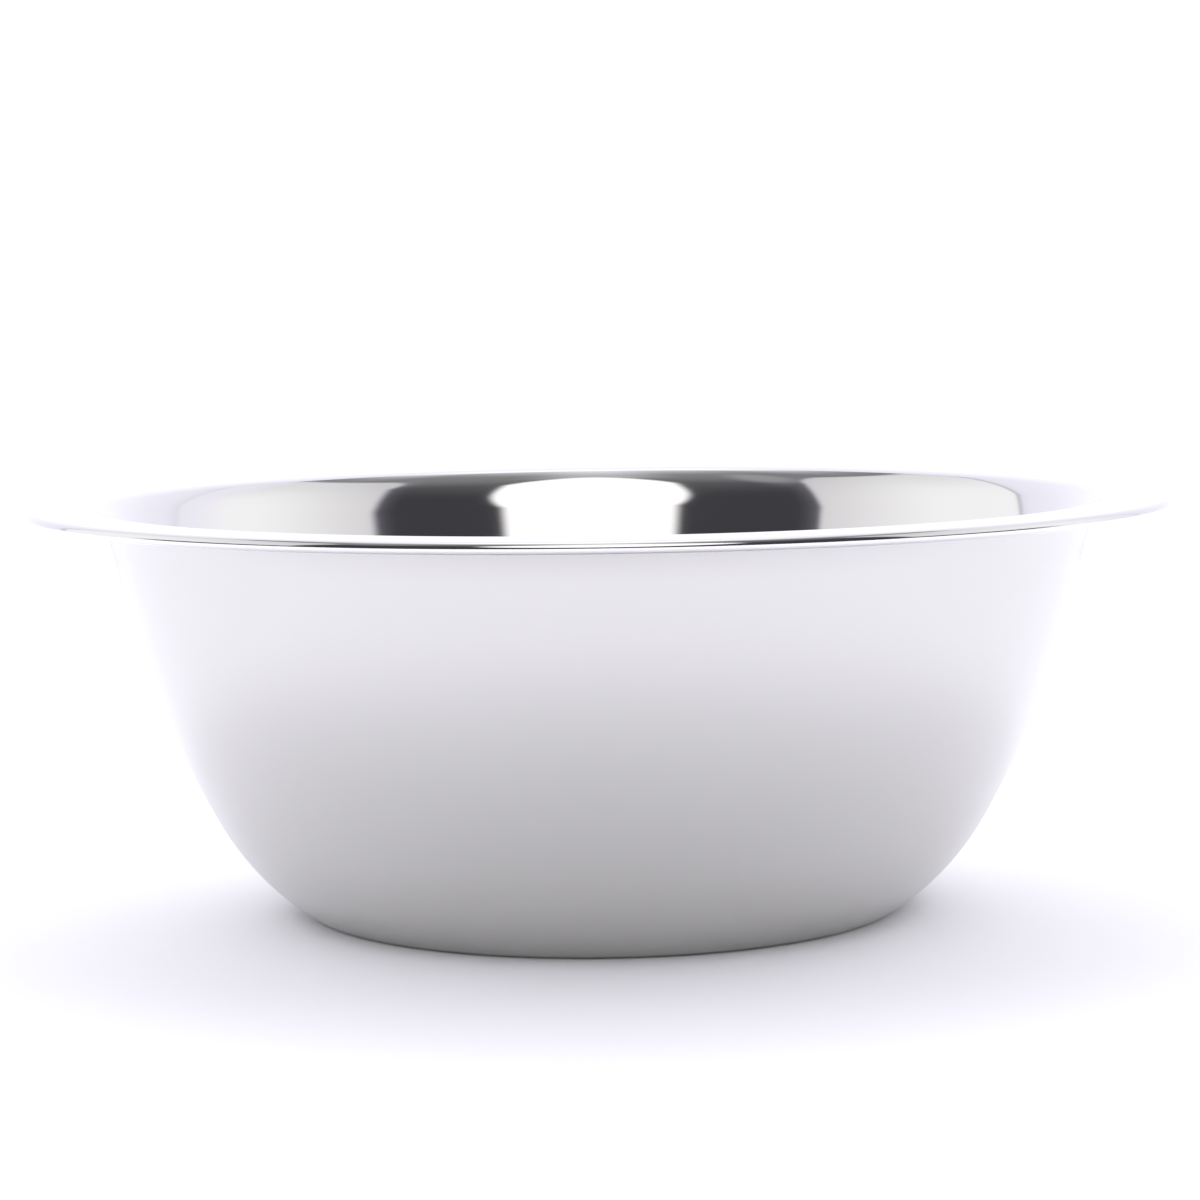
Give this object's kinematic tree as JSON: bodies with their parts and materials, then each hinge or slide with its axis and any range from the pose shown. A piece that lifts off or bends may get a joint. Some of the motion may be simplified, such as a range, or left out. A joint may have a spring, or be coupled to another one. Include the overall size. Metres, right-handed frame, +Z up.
{
  "type": "mixing bowl",
  "caption": "Deep round stainless-steel mixing bowl with a flat base, steep curved wall, flat pouring flange and rolled edge.",
  "frame": {"origin": "centre of the base's underside, on the table", "axes": "+Z up the bowl's axis, out of its mouth; X and Y are equivalent, because the bowl is round"},
  "size_m": [0.3, 0.3, 0.1086],
  "materials": {
    "stainless_steel": "mirror polish inside and on the rim, fine satin outside"
  },
  "bodies": {
    "root": {"bowl_shell": "stainless_steel"}
  },
  "joints": []
}
